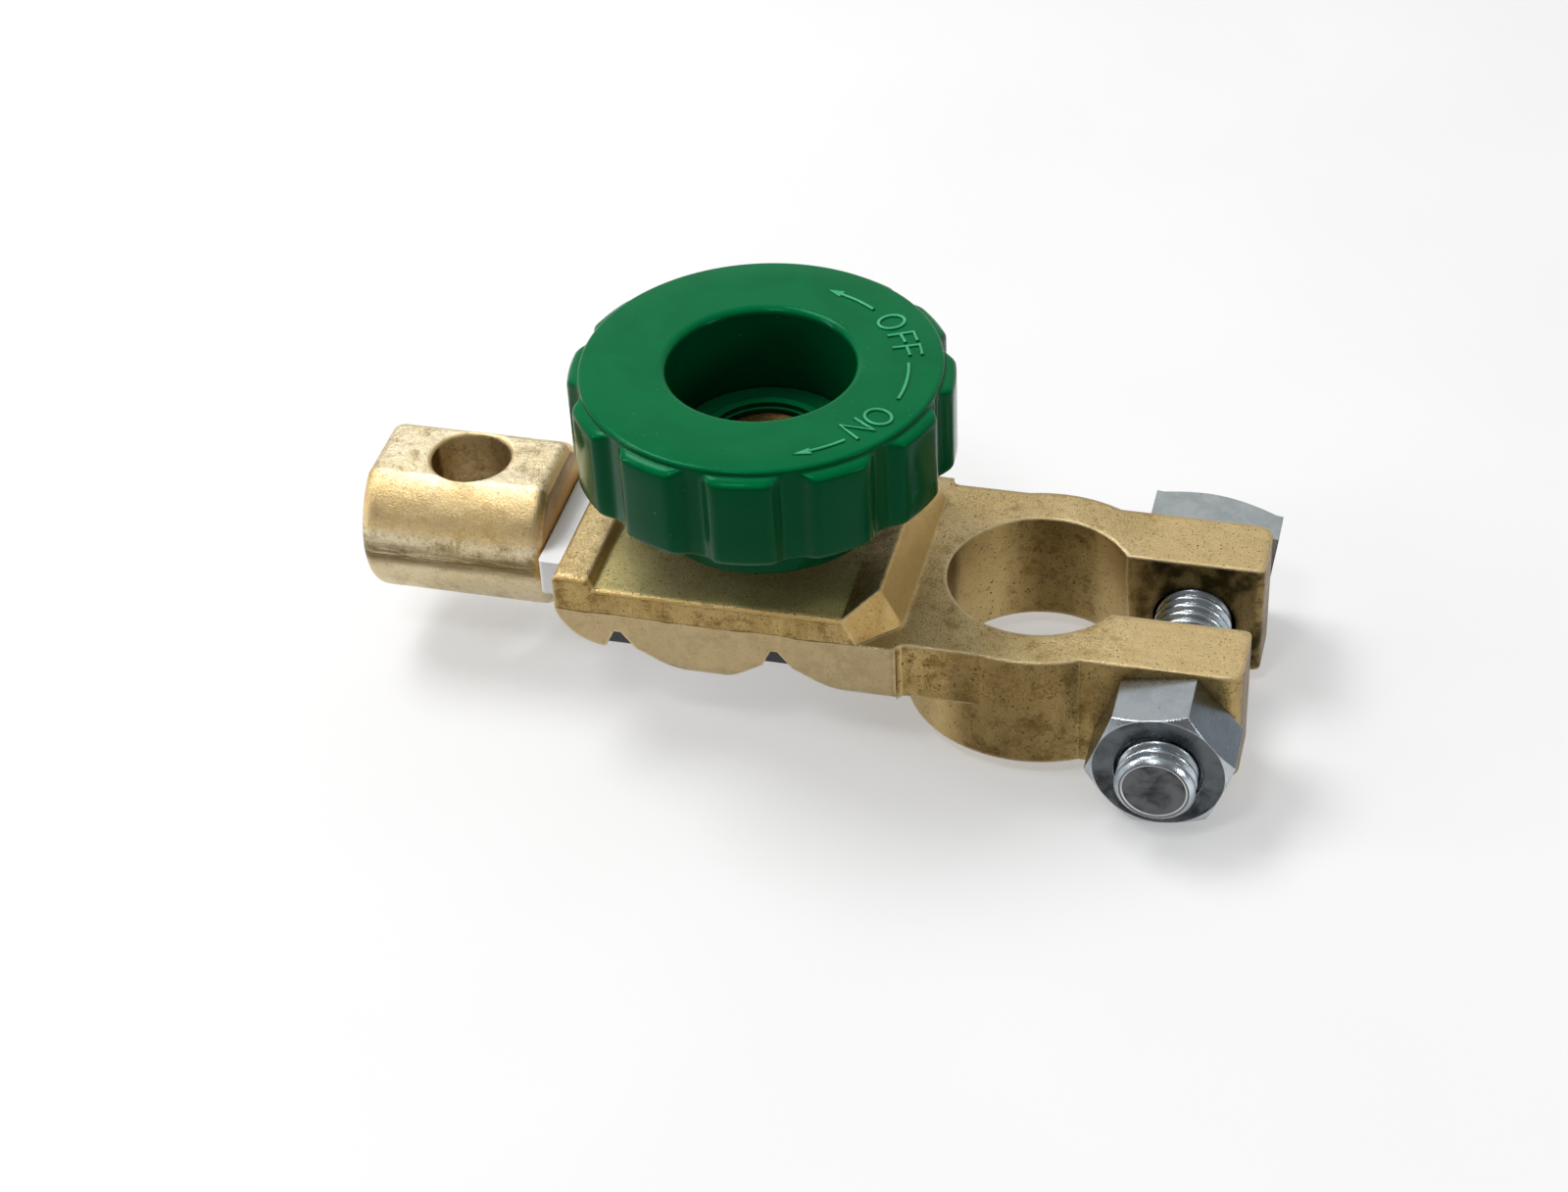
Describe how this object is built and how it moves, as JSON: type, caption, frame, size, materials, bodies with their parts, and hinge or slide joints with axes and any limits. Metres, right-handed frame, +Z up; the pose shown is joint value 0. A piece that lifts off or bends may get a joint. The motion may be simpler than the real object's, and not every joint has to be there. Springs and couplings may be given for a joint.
{
  "type": "battery terminal clamp",
  "caption": "Top-post battery clamp whose brass housing holds an insulated cable terminal and a screw-down knob that closes or opens the circuit.",
  "frame": {"origin": "axis of the post bore, level with the casting's top deck", "axes": "+X from the post towards the clamp's ears, +Y towards the bolt's head, +Z up along the post"},
  "size_m": [0.0926, 0.0407, 0.0374],
  "materials": {
    "cast_brass": "satin, cast",
    "turned_brass": "turned",
    "white_nylon": "satin",
    "green_plastic": "gloss",
    "zinc_steel": "zinc plated"
  },
  "bodies": {
    "casting": {"clamp_body": "cast_brass", "cable_terminal": "cast_brass", "insulator_tray": "white_nylon", "insulator_floor": "white_nylon"},
    "stud": {"knob_stud": "turned_brass"},
    "knob": {"knob": "green_plastic"},
    "bolt": {"clamp_bolt": "zinc_steel"},
    "nut": {"clamp_nut": "zinc_steel"}
  },
  "joints": [
    {"name": "knob_lift", "type": "slide", "parent": "casting", "child": "stud", "axis": [0, 0, 1], "range_m": [0, 0.003]},
    {"name": "knob_turn", "type": "hinge", "parent": "stud", "child": "knob", "pos_m": [-0.028, 0, 0.0163], "axis": [0, 0, 1], "range_deg": [0, 720]},
    {"name": "bolt_travel", "type": "slide", "parent": "casting", "child": "bolt", "axis": [0, 1, 0], "range_m": [0, 0.00875]},
    {"name": "nut_turn", "type": "hinge", "parent": "casting", "child": "nut", "pos_m": [0.01515, -0.0155, -0.0074], "axis": [0, -1, 0], "range_deg": [0, 2520]}
  ],
  "couplings": [
    {"joint": "knob_lift", "follows": "knob_turn", "m_per_rad": 0.00023873},
    {"joint": "bolt_travel", "follows": "nut_turn", "m_per_rad": 0.00019894}
  ]
}
